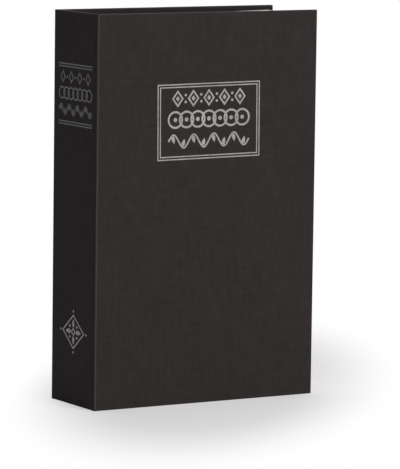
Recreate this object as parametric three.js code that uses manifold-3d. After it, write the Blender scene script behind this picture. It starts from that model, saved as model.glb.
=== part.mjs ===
// A book diversion safe: a cloth-bound dictionary with a lockable steel box in place of its pages.
// Millimetres. The book stands on its tail: +X from the spine to the fore-edge, +Y from the front
// cover to the back cover, +Z up. The origin is at the middle of the book's foot.
import * as THREE from 'three';
import { mergeVertices } from 'three/addons/utils/BufferGeometryUtils.js';
import Module from 'manifold-3d';

const wasm = await Module();
wasm.setup();

// Driving dimensions.
const book = { width: 155, thickness: 55, height: 240 };

const cover = {
  cloth: 0.4, // book cloth
  board: 2.2, // grey board
  turnIn: 15, // cloth folded round the board's edge to the inside
  paper: 0.2, // lining paper
  paperBorder: 3, // cloth left bare round the lining
  boardSetback: 0.7, // a board's edge, back from the spine corner
  foldGap: 0.3, // what the crease of the cloth needs between two boards
};

const pages = {
  wall: 6, // a strip of mock pages
  recess: 4, // the strips, in from the edges of the covers
  headRecessSpine: 5.4, // the head is trimmed a little out of square
  headRecessFore: 3,
  coverGap: 0.6, // below the lining of the closed front cover
};

const tray = {
  sheet: 1,
  pageGap: 0.3, // glue line to the page strips
  hingeSpace: 5.2, // between the spine's lining and the tray
};

const lid = {
  sheet: 1.2,
  sink: 1.3, // below the face of the page block
  pageGap: 0.5,
  hingeEdge: 0.3, // the plate's hinge side, in from the tray's outer face
  lip: 5, // depth of the lip inside the tray
  lipGap: 0.7, // between the lip and the tray's wall
  seatGap: 0.3,
};

const hinge = {
  leaf: 0.8,
  leafWidth: 12,
  pinRadius: 0.9,
  pinPlay: 0.25,
  wallGap: 0.3, // from the knuckles to the tray's wall
  endInset: 10, // from the ends of the tray
  knuckles: 13,
  knuckleGap: 0.4,
  pinOverhang: 0.5,
  sides: 16,
};

const lock = {
  inset: 19.2, // from the tray's fore-edge side to the lock's axis
  faceRadius: 9,
  faceThickness: 1.2,
  faceChamfer: 0.5,
  barrelRadius: 8,
  barrelFlats: 14, // across the two flats of the barrel
  barrelLength: 17, // from the lid's outer face
  holeGap: 0.3,
  sides: 32,
};

const nut = { acrossFlats: 22, thickness: 3, sides: 6 };

const washer = { radius: 10.5, thickness: 0.8 };

const plug = {
  radius: 5,
  play: 0.3, // round the plug, and behind its head
  headRadius: 6.2,
  headThickness: 1,
  faceSink: 0.2, // the plug's face, below the housing's face
  drive: 6, // square tail that turns the cam
  screwDepth: 4.5,
  sides: 24,
};

const keyway = { width: 2.1, height: 7.6, depth: 14 };

const wafer = {
  count: 5,
  thickness: 0.9,
  width: 3.8,
  height: 9,
  windowWidth: 2.5,
  windowHeight: 6.6,
  slotPlay: 0.15, // each side, along the plug
  sidePlay: 0.2,
  pitch: 2.2,
  first: 3, // the first slot's middle, behind the plug's face
  lift: 0.6,
  liftShares: [0.5, -0.6, 0.2, -0.2, 0.7], // how far each window sits off the middle
};

const cam = {
  thickness: 2,
  reach: 16,
  width: 10,
  hubRadius: 7,
  tipCorner: 2,
  gap: 0.3, // behind the barrel, and round the drive
};

const camWasher = { radius: 4.4, thickness: 0.8 };

const screw = {
  shankRadius: 1.6,
  play: 0.3,
  headRadius: 3.4,
  headThickness: 1.8,
  slotWidth: 0.9,
  slotDepth: 0.8,
  sides: 16,
};

const strike = {
  sheet: 1.6,
  width: 24,
  tongue: 9, // how far the tongue stands out from the tray's wall
  lipGap: 0.8, // below the lid's lip
  camGap: 0.3,
};

const key = {
  thickness: 1.7,
  bowRadius: 10.5,
  holeRadius: 3,
  holeInset: 3.3, // the hole's middle, from the bow's middle
  bladeLength: 25,
  bladeWidth: 7.2,
  shoulder: 6, // plain blade before the first notch
  notchDepth: 1.2,
  fromFloor: 15, // the keys' line, from the tray's floor
  apart: 9, // between the two keys, end to end
  turns: [0.12, -0.2], // how each one happens to lie, in radians
};

const cutOverrun = 1;
const curveSteps = 12;

// Faces and places that the pieces share.
const spineFace = -book.width / 2;
const foreFace = book.width / 2;
const frontFace = -book.thickness / 2;
const backFace = book.thickness / 2;
const coverThickness = cover.cloth + cover.board + cover.cloth;
const liningDepth = coverThickness + cover.paper;
const spineLining = spineFace + liningDepth;
const backLining = backFace - liningDepth;
const spineBoardY = [
  frontFace + coverThickness + cover.foldGap,
  backFace - coverThickness - cover.foldGap,
];

const pagesFront = frontFace + liningDepth + pages.coverGap;
const pagesFore = foreFace - pages.recess;
const pagesForeInside = pagesFore - pages.wall;
const pagesTailInside = pages.recess + pages.wall;
const pagesHeadInside = book.height - pages.recess - pages.wall;

const lidFace = pagesFront + lid.sink;
const lidUnder = lidFace + lid.sheet;
const trayOuter = {
  x: [spineLining + tray.hingeSpace, pagesForeInside - tray.pageGap],
  y: [lidUnder + lid.seatGap, backLining],
  z: [pagesTailInside + tray.pageGap, pagesHeadInside - tray.pageGap],
};
const trayInner = {
  x: grown(trayOuter.x, -tray.sheet),
  y: [trayOuter.y[0], trayOuter.y[1] - tray.sheet],
  z: grown(trayOuter.z, -tray.sheet),
};

const knuckleRadius = hinge.pinRadius + hinge.pinPlay + hinge.leaf;
const knuckleSpace = knuckleRadius + hinge.knuckleGap;
const lidAxis = {
  x: trayOuter.x[0] - hinge.wallGap - knuckleRadius,
  y: lidFace - hinge.leaf + knuckleRadius,
};
const hingeZ = grown(trayOuter.z, -hinge.endInset);

// Depths in the lock are measured from the lid's outer face.
const lockAxis = { x: trayOuter.x[1] - lock.inset, z: book.height / 2 };
const plugFace = -lock.faceThickness + plug.faceSink;
const camY = [lock.barrelLength + cam.gap, lock.barrelLength + cam.gap + cam.thickness];
const camWasherY = [camY[1], camY[1] + camWasher.thickness];
const screwHole = screw.shankRadius + screw.play;
const driveEnd = camY[1] - cam.gap;

// Helpers.
function grown(limits, amount) {
  return [limits[0] - amount, limits[1] + amount];
}

function moved(limits, amount) {
  return [limits[0] + amount, limits[1] + amount];
}

function about(middle, size) {
  return [middle - size / 2, middle + size / 2];
}

function solid(geometry) {
  const bare = geometry.clone();
  bare.deleteAttribute('normal');
  bare.deleteAttribute('uv');
  const merged = mergeVertices(bare);
  const vertProperties = new Float32Array(merged.attributes.position.array);
  const triVerts = new Uint32Array(merged.index.array);
  return new wasm.Manifold(new wasm.Mesh({ numProp: 3, vertProperties, triVerts }));
}

function geometryOf(body) {
  const { vertProperties, triVerts } = body.getMesh();
  const geometry = new THREE.BufferGeometry();
  geometry.setAttribute('position', new THREE.BufferAttribute(new Float32Array(vertProperties), 3));
  geometry.setIndex(new THREE.BufferAttribute(new Uint32Array(triVerts), 1));
  geometry.computeVertexNormals();
  return geometry;
}

// A box between two limits along each axis, with its corners exactly on those limits.
function blockGeometry(x, y, z) {
  const geometry = new THREE.BoxGeometry(1, 1, 1);
  const corners = geometry.attributes.position;
  const pick = (value, limits) => (value < 0 ? limits[0] : limits[1]);
  for (let i = 0; i < corners.count; i += 1) {
    corners.setXYZ(i, pick(corners.getX(i), x), pick(corners.getY(i), y), pick(corners.getZ(i), z));
  }
  return geometry;
}

function block(x, y, z) {
  return solid(blockGeometry(x, y, z));
}

// A round or many-sided bar along Y, between two depths.
function barAlongY(radius, y, sides, at = { x: 0, z: 0 }) {
  const geometry = new THREE.CylinderGeometry(radius, radius, y[1] - y[0], sides);
  return solid(geometry.translate(at.x, (y[0] + y[1]) / 2, at.z));
}

// A round bar along Z, between two heights.
function barAlongZ(radius, z, sides) {
  const geometry = new THREE.CylinderGeometry(radius, radius, z[1] - z[0], sides);
  return solid(geometry.rotateX(Math.PI / 2).translate(0, 0, (z[0] + z[1]) / 2));
}

// A ring along Y round a hole.
function ringAlongY(radius, hole, y, sides) {
  return barAlongY(radius, y, sides).subtract(barAlongY(hole, grown(y, cutOverrun), sides));
}

// A flat outline drawn in X and Z, with its thickness along Y.
function plateAlongY(outline, y) {
  const geometry = new THREE.ExtrudeGeometry(outline, {
    depth: y[1] - y[0],
    bevelEnabled: false,
    curveSegments: curveSteps,
  });
  return solid(geometry.rotateX(Math.PI / 2).translate(0, y[1], 0));
}

function piece(name, shape, material) {
  const geometry = shape.isBufferGeometry ? shape : geometryOf(shape);
  const mesh = new THREE.Mesh(geometry, material);
  mesh.name = name;
  return mesh;
}

// Finishes.
function finish(color, roughness, metalness) {
  return () => new THREE.MeshStandardMaterial({ color, roughness, metalness });
}
const bookCloth = finish('#342f2e', 0.85, 0);
const greyBoard = finish('#8d857a', 0.95, 0);
const liningPaper = finish('#1d1b1c', 0.8, 0);
const pagePaper = finish('#f2eee2', 0.9, 0);
const blackEnamel = finish('#26272a', 0.45, 0.3);
const zincSteel = finish('#b9bbbd', 0.35, 1);
const brightNickel = finish('#cfd0cf', 0.2, 1);
const brass = finish('#c9a55c', 0.3, 1);

// One cover, drawn with the spine corner at zero and its outer face at zero: X out to the
// fore-edge, Y into the book. The back cover is the same thing turned over.
function coverBoard() {
  return blockGeometry(
    [cover.boardSetback, book.width - cover.cloth],
    [cover.cloth, cover.cloth + cover.board],
    [cover.cloth, book.height - cover.cloth],
  );
}

// The cloth lies over the outside, folds round the head, the tail and the fore-edge, and is
// turned in. Near the spine corner only its outer skin goes on.
function coverCloth() {
  const whole = [0, book.height];
  const inwards = [cover.cloth, coverThickness + cutOverrun];
  return block([0, book.width], [0, coverThickness], whole)
    .subtract(block(
      [-cutOverrun, book.width - cover.cloth],
      [cover.cloth, cover.cloth + cover.board],
      grown(whole, -cover.cloth),
    ))
    .subtract(block([-cutOverrun, book.width - cover.turnIn], inwards, grown(whole, -cover.turnIn)))
    .subtract(block([-cutOverrun, cover.boardSetback], inwards, grown(whole, cutOverrun)));
}

// The lining fills the window that the turned-in cloth leaves and laps over the cloth.
function coverLining() {
  const start = liningDepth + cover.foldGap;
  const whole = [0, book.height];
  const filled = block(
    [start, book.width - cover.turnIn],
    [cover.cloth + cover.board, coverThickness + cover.paper],
    grown(whole, -cover.turnIn),
  );
  return filled.add(block(
    [start, book.width - cover.paperBorder],
    [coverThickness, coverThickness + cover.paper],
    grown(whole, -cover.paperBorder),
  ));
}

function frontCover() {
  const group = new THREE.Group();
  group.position.set(spineFace, frontFace, 0);
  group.add(piece('front_board', coverBoard(), greyBoard()));
  group.add(piece('front_cover_cloth', coverCloth(), bookCloth()));
  group.add(piece('front_lining_paper', coverLining(), liningPaper()));
  return group;
}

// The same shape with its outer face towards +Y, in the book's own place.
function turnedOver(shape) {
  const geometry = shape.isBufferGeometry ? shape : geometryOf(shape);
  const corners = geometry.attributes.position;
  for (let i = 0; i < corners.count; i += 1) {
    corners.setXYZ(i, spineFace + corners.getX(i), backFace - corners.getY(i), corners.getZ(i));
  }
  geometry.index.array.reverse();
  geometry.computeVertexNormals();
  return geometry;
}

function backCover() {
  const group = new THREE.Group();
  group.add(piece('back_board', turnedOver(coverBoard()), greyBoard()));
  group.add(piece('back_cover_cloth', turnedOver(coverCloth()), bookCloth()));
  group.add(piece('back_lining_paper', turnedOver(coverLining()), liningPaper()));
  return group;
}

function spineCloth() {
  const whole = [0, book.height];
  const skin = [spineFace, spineFace + cover.cloth];
  const boardX = [skin[1], skin[1] + cover.board];
  const wrapped = block([spineFace, spineFace + coverThickness], spineBoardY, whole)
    .subtract(block(boardX, grown(spineBoardY, cutOverrun), grown(whole, -cover.cloth)))
    .subtract(block(
      [skin[1], spineFace + coverThickness + cutOverrun],
      grown(spineBoardY, cutOverrun),
      grown(whole, -cover.turnIn),
    ));
  return wrapped.add(block(
    skin,
    [frontFace + cover.cloth + cover.foldGap, backFace - cover.cloth],
    whole,
  ));
}

function spineLiningPaper() {
  const start = spineFace + cover.cloth + cover.board;
  const y = grown(spineBoardY, -cover.foldGap);
  const whole = [0, book.height];
  return block([start, spineLining], y, grown(whole, -cover.turnIn)).add(block(
    [spineFace + coverThickness, spineLining],
    y,
    grown(whole, -cover.paperBorder),
  ));
}

function spine() {
  const group = new THREE.Group();
  const boardX = [spineFace + cover.cloth, spineFace + cover.cloth + cover.board];
  const boardZ = [cover.cloth, book.height - cover.cloth];
  group.add(piece('spine_board', blockGeometry(boardX, spineBoardY, boardZ), greyBoard()));
  group.add(piece('spine_cloth', spineCloth(), bookCloth()));
  group.add(piece('spine_lining_paper', spineLiningPaper(), liningPaper()));
  return group;
}

// The head strip's top runs from its height at the spine to its height at the fore-edge.
function headStrip(x, y) {
  const foreTop = book.height - pages.headRecessFore;
  const geometry = blockGeometry(x, y, [pagesHeadInside, foreTop]);
  const corners = geometry.attributes.position;
  for (let i = 0; i < corners.count; i += 1) {
    const atSpineTop = corners.getZ(i) > pagesHeadInside && corners.getX(i) < 0;
    if (atSpineTop) {
      corners.setZ(i, book.height - pages.headRecessSpine);
    }
  }
  geometry.computeVertexNormals();
  return geometry;
}

function pageBlock() {
  const group = new THREE.Group();
  const x = [spineLining, pagesFore];
  const y = [pagesFront, backLining];
  const tail = blockGeometry(x, y, [pages.recess, pagesTailInside]);
  const fore = blockGeometry([pagesForeInside, pagesFore], y, [pagesTailInside, pagesHeadInside]);
  group.add(piece('page_block_head', headStrip(x, y), pagePaper()));
  group.add(piece('page_block_tail', tail, pagePaper()));
  group.add(piece('page_block_fore_edge', fore, pagePaper()));
  return group;
}

function steelBox() {
  const hollow = block(trayInner.x, [trayInner.y[0] - cutOverrun, trayInner.y[1]], trayInner.z);
  return piece('steel_box', block(trayOuter.x, trayOuter.y, trayOuter.z).subtract(hollow), blackEnamel());
}

// Each knuckle's heights; the box's leaf has the even ones and the lid's leaf the odd ones.
function knuckleHeights(index) {
  const pitch = (hingeZ[1] - hingeZ[0] + hinge.knuckleGap) / hinge.knuckles;
  const start = hingeZ[0] + index * pitch;
  return [start, start + pitch - hinge.knuckleGap];
}

// A leaf with its knuckles, round the hinge's axis. `web` joins a knuckle to the leaf.
function hingeLeaf(plate, web, firstKnuckle) {
  let leaf = plate;
  for (let i = firstKnuckle; i < hinge.knuckles; i += 2) {
    const z = knuckleHeights(i);
    leaf = leaf.add(block(web.x, web.y, z)).add(barAlongZ(knuckleRadius, z, hinge.sides));
  }
  const bore = hinge.pinRadius + hinge.pinPlay;
  return leaf.subtract(barAlongZ(bore, grown(hingeZ, cutOverrun), hinge.sides));
}

function boxLeaf() {
  const wall = trayOuter.x[0] - lidAxis.x;
  const x = [wall - hinge.leaf, wall];
  const plate = block(x, [knuckleSpace, knuckleSpace + hinge.leafWidth], hingeZ);
  return hingeLeaf(plate, { x, y: [0, knuckleSpace + hinge.leaf] }, 0);
}

function lidLeaf() {
  const y = [-knuckleRadius, -knuckleRadius + hinge.leaf];
  const plate = block([knuckleSpace, knuckleSpace + hinge.leafWidth], y, hingeZ);
  return hingeLeaf(plate, { x: [0, knuckleSpace + hinge.leaf], y }, 1);
}

// What stays on the tray sits round the same axis as the lid.
function boxHinge() {
  const group = new THREE.Group();
  group.position.set(lidAxis.x, lidAxis.y, 0);
  const pin = barAlongZ(hinge.pinRadius, grown(hingeZ, hinge.pinOverhang), hinge.sides);
  group.add(piece('hinge_box_leaf', boxLeaf(), zincSteel()));
  group.add(piece('hinge_pin', pin, zincSteel()));
  return group;
}

// The angle on the tray's fore-edge wall: the cam turns in behind its tongue.
function strikeBracket() {
  const z = about(lockAxis.z, strike.width);
  const tongueBack = lidFace + camY[0] - strike.camGap;
  const wall = trayInner.x[1];
  const leg = block([wall - strike.sheet, wall], [lidUnder + lid.lip + strike.lipGap, tongueBack], z);
  const tongue = block([wall - strike.tongue, wall], [tongueBack - strike.sheet, tongueBack], z);
  return piece('strike_bracket', leg.add(tongue), zincSteel());
}

// The barrel's round with its two flats, or the hole for it, as a bar along Y.
function flattedBar(radius, flats, y, at) {
  const width = about(at.x, 2 * (radius + cutOverrun));
  const between = block(width, grown(y, cutOverrun), about(at.z, flats));
  return barAlongY(radius, y, lock.sides, at).intersect(between);
}

// The lid, drawn round its hinge's axis.
function lidPlate() {
  const face = lidFace - lidAxis.y;
  const under = lidUnder - lidAxis.y;
  const plateX = [trayOuter.x[0] + lid.hingeEdge, pagesForeInside - lid.pageGap];
  const plateZ = [pagesTailInside + lid.pageGap, pagesHeadInside - lid.pageGap];
  const lipX = moved(grown(trayInner.x, -lid.lipGap), -lidAxis.x);
  const lipZ = grown(trayInner.z, -lid.lipGap);
  const lipY = [face + lid.sheet / 2, under + lid.lip];
  const inside = block(
    grown(lipX, -lid.sheet),
    [under, lipY[1] + cutOverrun],
    grown(lipZ, -lid.sheet),
  );
  const at = { x: lockAxis.x - lidAxis.x, z: lockAxis.z };
  const radius = lock.barrelRadius + lock.holeGap;
  const flats = lock.barrelFlats + 2 * lock.holeGap;
  return block(moved(plateX, -lidAxis.x), [face, under], plateZ)
    .add(block(lipX, lipY, lipZ))
    .subtract(inside)
    .subtract(flattedBar(radius, flats, grown([face, under], cutOverrun), at));
}

// The round face and the threaded barrel, turned about the lock's axis.
function lockHousing() {
  const bore = plug.radius + plug.play;
  const counterbore = plug.headRadius + plug.play;
  const front = -lock.faceThickness;
  const shoulder = plugFace + plug.headThickness + plug.play;
  const profile = [
    [counterbore, front],
    [lock.faceRadius - lock.faceChamfer, front],
    [lock.faceRadius, front + lock.faceChamfer],
    [lock.faceRadius, 0],
    [lock.barrelRadius, 0],
    [lock.barrelRadius, lock.barrelLength],
    [bore, lock.barrelLength],
    [bore, shoulder],
    [counterbore, shoulder],
    [counterbore, front],
  ].map(([radius, depth]) => new THREE.Vector2(radius, depth));
  const turned = solid(new THREE.LatheGeometry(profile, lock.sides));
  const face = barAlongY(lock.faceRadius + cutOverrun, [front - cutOverrun, 0], lock.sides);
  const barrel = [0, lock.barrelLength];
  const kept = flattedBar(lock.barrelRadius + cutOverrun, lock.barrelFlats, barrel, { x: 0, z: 0 });
  return turned.intersect(face.add(kept));
}

function waferSlotY(index) {
  const middle = plugFace + wafer.first + index * wafer.pitch;
  return about(middle, wafer.thickness);
}

function lockPlug() {
  const middle = about(0, plug.drive);
  let body = barAlongY(plug.headRadius, [plugFace, plugFace + plug.headThickness], plug.sides)
    .add(barAlongY(plug.radius, [plugFace, lock.barrelLength], plug.sides))
    .add(block(middle, [lock.barrelLength - plug.screwDepth, driveEnd], middle))
    .subtract(barAlongY(screwHole, [driveEnd - plug.screwDepth, driveEnd + cutOverrun], screw.sides))
    .subtract(block(
      about(0, keyway.width),
      [plugFace - cutOverrun, plugFace + keyway.depth],
      about(0, keyway.height),
    ));
  const slotX = about(0, wafer.width + 2 * wafer.sidePlay);
  const slotZ = about(0, 2 * (plug.radius + cutOverrun));
  for (let i = 0; i < wafer.count; i += 1) {
    body = body.subtract(block(slotX, grown(waferSlotY(i), wafer.slotPlay), slotZ));
  }
  return body;
}

function waferPlate(index) {
  const y = waferSlotY(index);
  const windowMiddle = wafer.lift * wafer.liftShares[index % wafer.liftShares.length];
  const window = block(
    about(0, wafer.windowWidth),
    grown(y, cutOverrun),
    about(windowMiddle, wafer.windowHeight),
  );
  return block(about(0, wafer.width), y, about(0, wafer.height)).subtract(window);
}

// A hub with one arm, which points to the foot of the book while the lid is unlocked.
function camOutline() {
  const half = cam.width / 2;
  const down = -Math.PI / 2;
  const shoulder = Math.asin(half / cam.hubRadius);
  const outline = new THREE.Shape();
  outline.absarc(0, 0, cam.hubRadius, down + shoulder, down - shoulder + 2 * Math.PI, false);
  outline.lineTo(-half, -cam.reach + cam.tipCorner);
  outline.lineTo(-half + cam.tipCorner, -cam.reach);
  outline.lineTo(half - cam.tipCorner, -cam.reach);
  outline.lineTo(half, -cam.reach + cam.tipCorner);
  outline.closePath();
  return outline;
}

function lockCam() {
  const hole = about(0, plug.drive + 2 * cam.gap);
  return plateAlongY(camOutline(), camY).subtract(block(hole, grown(camY, cutOverrun), hole));
}

function camScrew() {
  const seat = camWasherY[1];
  const top = seat + screw.headThickness;
  const tip = driveEnd - plug.screwDepth + screw.play;
  return barAlongY(screw.headRadius, [seat, top], screw.sides)
    .add(barAlongY(screw.shankRadius, [tip, seat + screw.headThickness / 2], screw.sides))
    .subtract(block(
      about(0, 2 * (screw.headRadius + cutOverrun)),
      [top - screw.slotDepth, top + cutOverrun],
      about(0, screw.slotWidth),
    ));
}

// What turns with the key.
function turningParts() {
  const group = new THREE.Group();
  group.add(piece('lock_plug', lockPlug(), brass()));
  for (let i = 0; i < wafer.count; i += 1) {
    group.add(piece(`lock_wafer_${i + 1}`, waferPlate(i), brass()));
  }
  group.add(piece('lock_cam', lockCam(), zincSteel()));
  const ring = ringAlongY(camWasher.radius, screwHole, camWasherY, screw.sides);
  group.add(piece('cam_washer', ring, zincSteel()));
  group.add(piece('cam_screw', camScrew(), zincSteel()));
  return group;
}

function lockUnit() {
  const group = new THREE.Group();
  group.position.set(lockAxis.x - lidAxis.x, lidFace - lidAxis.y, lockAxis.z);
  const washerY = [lid.sheet, lid.sheet + washer.thickness];
  const nutY = [washerY[1], washerY[1] + nut.thickness];
  const hole = lock.barrelRadius + lock.holeGap;
  const ring = ringAlongY(washer.radius, hole, washerY, lock.sides);
  const corner = nut.acrossFlats / 2 / Math.cos(Math.PI / nut.sides);
  const hexagon = barAlongY(corner, nutY, nut.sides)
    .subtract(barAlongY(hole, grown(nutY, cutOverrun), lock.sides));
  group.add(piece('lock_housing', lockHousing(), brightNickel()));
  group.add(piece('lock_washer', ring, zincSteel()));
  group.add(piece('lock_nut', hexagon, zincSteel()));
  group.add(turningParts());
  return group;
}

function lidAssembly() {
  const group = new THREE.Group();
  group.position.set(lidAxis.x, lidAxis.y, 0);
  group.add(piece('lid', lidPlate(), blackEnamel()));
  group.add(piece('hinge_lid_leaf', lidLeaf(), zincSteel()));
  group.add(lockUnit());
  return group;
}

// A flat key: the bow at the middle, the blade towards +X with a notch for each wafer.
function keyOutline() {
  const half = key.bladeWidth / 2;
  const neck = Math.asin(half / key.bowRadius);
  const end = key.bowRadius + key.bladeLength;
  const outline = new THREE.Shape();
  outline.absarc(0, 0, key.bowRadius, neck, 2 * Math.PI - neck, false);
  outline.lineTo(end - half, -half);
  outline.lineTo(end, 0);
  outline.lineTo(end - half, half);
  for (let i = wafer.count - 1; i >= 0; i -= 1) {
    const x = key.bowRadius + key.shoulder + i * wafer.pitch;
    const share = wafer.liftShares[i % wafer.liftShares.length];
    outline.lineTo(x + wafer.pitch / 2, half);
    outline.lineTo(x, half - key.notchDepth * (1 + share) / 2);
    outline.lineTo(x - wafer.pitch / 2, half);
  }
  outline.closePath();
  const hole = new THREE.Path();
  hole.absarc(-key.holeInset, 0, key.holeRadius, 0, 2 * Math.PI, true);
  outline.holes.push(hole);
  return outline;
}

// The two keys lie flat on the tray's lower wall.
function looseKeys() {
  const group = new THREE.Group();
  const keyLength = 2 * key.bowRadius + key.bladeLength;
  const row = key.turns.length * keyLength + (key.turns.length - 1) * key.apart;
  const middle = (trayInner.x[0] + trayInner.x[1]) / 2;
  group.position.set(middle - row / 2 + key.bowRadius, trayInner.y[1] - key.fromFloor, trayInner.z[0]);
  key.turns.forEach((turn, i) => {
    const geometry = new THREE.ExtrudeGeometry(keyOutline(), {
      depth: key.thickness,
      bevelEnabled: false,
      curveSegments: curveSteps,
    });
    const loose = piece(`key_${i + 1}`, solid(geometry), brightNickel());
    loose.position.x = i * (keyLength + key.apart);
    loose.rotation.z = turn;
    group.add(loose);
  });
  return group;
}

const safe = new THREE.Group();
safe.add(frontCover());
safe.add(spine());
safe.add(backCover());
safe.add(pageBlock());
safe.add(steelBox());
safe.add(boxHinge());
safe.add(strikeBracket());
safe.add(lidAssembly());
safe.add(looseKeys());

export default safe;
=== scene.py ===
from functools import partial
from math import asin, atan2, cos, degrees, dist, pi, radians, sin, sqrt

import bmesh
import bpy
from mathutils import Matrix, Vector


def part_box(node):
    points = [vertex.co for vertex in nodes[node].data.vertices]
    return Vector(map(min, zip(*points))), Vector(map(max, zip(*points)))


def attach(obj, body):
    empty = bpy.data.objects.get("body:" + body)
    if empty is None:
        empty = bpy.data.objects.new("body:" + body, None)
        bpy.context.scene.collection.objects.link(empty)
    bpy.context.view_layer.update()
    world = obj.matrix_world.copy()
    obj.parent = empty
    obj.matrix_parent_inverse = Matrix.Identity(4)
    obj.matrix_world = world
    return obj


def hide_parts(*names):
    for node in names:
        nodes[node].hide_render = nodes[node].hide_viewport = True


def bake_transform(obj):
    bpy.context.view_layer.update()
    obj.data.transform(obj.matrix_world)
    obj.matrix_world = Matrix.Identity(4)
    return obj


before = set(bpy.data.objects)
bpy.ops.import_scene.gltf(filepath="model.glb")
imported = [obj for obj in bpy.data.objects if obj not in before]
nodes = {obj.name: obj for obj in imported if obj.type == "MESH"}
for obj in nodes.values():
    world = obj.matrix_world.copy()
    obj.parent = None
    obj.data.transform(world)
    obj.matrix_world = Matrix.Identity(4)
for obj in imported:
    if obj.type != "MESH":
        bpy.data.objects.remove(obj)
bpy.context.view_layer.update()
mm = 0.001

# A hardback book, standing on its tail, that hides a steel box with a locking lid.
# Sizes are in millimetres and angles in degrees, unless a note says otherwise.


def nodeBox(name):  # (low, high) along each axis
    return [(low / mm, high / mm) for low, high in zip(*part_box(name))]


def settle(thing, **values):
    for key, value in values.items():
        setattr(thing, key, value)
    return thing


def shown(name, data):  # a new object, put in the scene
    piece = bpy.data.objects.new(name, data)
    bpy.context.scene.collection.objects.link(piece)
    return piece


# camera, solved from the book's edges

view = {
    "place": (-1.1624, -1.97, 0.3742),  # metres
    "yaw": -30.79,
    "pitch": 6.81,
    "roll": 0.76,
    "lens": 286.1,
    "sensor": 36,
    "clip": (0.05, 50),  # metres
}


def aimed(piece, place, *turns, back=0.0):  # it looks down its own -Z, and stands back along it
    matrix = Matrix.Translation(place)
    for angle, axis in turns:
        matrix = matrix @ Matrix.Rotation(radians(angle), 4, axis)
    return settle(piece, matrix_world=matrix @ Matrix.Translation((0, 0, back)))


def makeCamera():
    near, far = view["clip"]
    data = settle(bpy.data.cameras.new("camera"), lens=view["lens"], sensor_width=view["sensor"],
                  clip_start=near, clip_end=far)
    turns = (view["yaw"], "Z"), (90 - view["pitch"], "X"), (view["roll"], "Z")
    bpy.context.scene.camera = aimed(shown("camera", data), view["place"], *turns)


makeCamera()
bpy.context.scene.view_settings.view_transform = "Standard"
print("camera ready")


# nodes and colours

families = {"ShaderNodeTree": ["ShaderNode"],
            "GeometryNodeTree": ["GeometryNode", "ShaderNode", "FunctionNode", "Node"]}
plus, times, timesPlus = "ADD", "MULTIPLY", "MULTIPLY_ADD"
colours = {"data_type": "RGBA"}


def linear(hexText):
    values = [int(hexText[i:i + 2], 16) / 255 for i in (1, 3, 5)]
    return [v / 12.92 if v <= 0.04045 else ((v + 0.055) / 1.055) ** 2.4 for v in values] + [1.0]


def add(tree, kind, settings=None, inputs=None):
    # One node with its settings and links. The kind is Blender's name without its family, and a
    # setting alone is the operation. Inputs go by name, or as a list in the node's own order, and
    # one input takes several links as a list.
    names = [family + kind for family in families[tree.bl_idname]]
    node = tree.nodes.new(next(name for name in names if hasattr(bpy.types, name)))
    settle(node, **({"operation": settings} if isinstance(settings, str) else settings or {}))
    if isinstance(inputs, list):
        pairs = list(zip([socket for socket in node.inputs if socket.enabled], inputs))
    else:
        pairs = [(node.inputs[key], value) for key, value in (inputs or {}).items()]
    for socket, given in pairs:
        for value in given if isinstance(given, list) else [given]:
            if isinstance(value, bpy.types.Node):
                value = next(out for out in value.outputs if out.enabled)
            if isinstance(value, bpy.types.NodeSocket):
                tree.links.new(value, socket)
            else:
                socket.default_value = linear(value) if isinstance(value, str) else value
    return node


def newFinish(name, colour):  # a material, and add for its tree
    material = bpy.data.materials.new(name)
    material.use_nodes = True
    material.diffuse_color = linear(colour)
    material.node_tree.nodes.clear()
    return material, partial(add, material.node_tree)


def endFinish(material, height, relief, colour, roughness, specular=0.5, metallic=0.0):
    # relief: its depth and its strength
    put = partial(add, material.node_tree)
    bump = put("Bump", {}, {"Height": height, "Distance": relief[0] * mm, "Strength": relief[1]})
    put("OutputMaterial", {}, {"Surface": put("BsdfPrincipled", {}, {
        "Base Color": colour, "Roughness": roughness, "Specular IOR Level": specular,
        "Metallic": metallic, "Normal": bump})})
    return material


def inMillimetres(put):  # the piece's own coordinates, times 1000
    return put("VectorMath", "SCALE", [put("TexCoord").outputs["Object"], 1 / mm])


def cloudsOf(put, place, size, detail=3.0, roughness=0.55):  # size: one cloud's, along each axis
    scaled = put("VectorMath", "DIVIDE", [place, size])
    return put("TexNoise", {},
               {"Vector": scaled, "Scale": 1.0, "Detail": detail, "Roughness": roughness})


# Book cloth: starched cotton in a plain weave, dyed charcoal. Dull, with thin threads, thicker
# slubs mostly up the book, and a paler rub where it folds over a board's edge.
cloth = {
    "colour": "#332f2e",
    "tones": ("#2e2a29", "#363231"),
    "hollow": "#1f1c1b",  # painted shade between the threads
    # paler cloth where rubbed on the edges; on the fold strip it is also a painted highlight
    "rubbedAndHighlight": "#57524f",
    "turnInShade": "#232122",  # painted shade on the turn-ins inside the cover
    "thread": 0.55,  # spacing, drawn coarser than the real 0.35
    "relief": (0.07, 0.5),
    "slub": (2.5, 12),  # width and length; drawn wider than the real 0.6, so that slubs show
    "broad": (30, 42, 1),  # clouds in the dye, round the book and up it
    "shares": (0.25, 0.34, 0.41),  # in the tone: the dye, the slubs across and the slubs up the book
}


def weave(put):  # the place on the sheet, and threads over and under each other, 0 to 1
    flat = put("Attribute", {"attribute_name": "thread"}).outputs["Vector"]
    along = put("SeparateXYZ", {}, [flat])
    waves = []
    for i in (0, 1):
        angle = put("Math", times, [along.outputs[i], pi / cloth["thread"]])
        waves.append(put("Math", "SINE", [angle]))
    over = put("Math", times, waves)
    heights = []
    for wave, ends in zip(waves, ((0.25, 1.0), (1.0, 0.25))):
        share = put("MapRange", {}, [over, -0.5, 0.5, *ends])
        heights.append(put("Math", times, [put("Math", "ABSOLUTE", [wave]), share]))
    return flat, put("Math", "MAXIMUM", heights)


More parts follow.
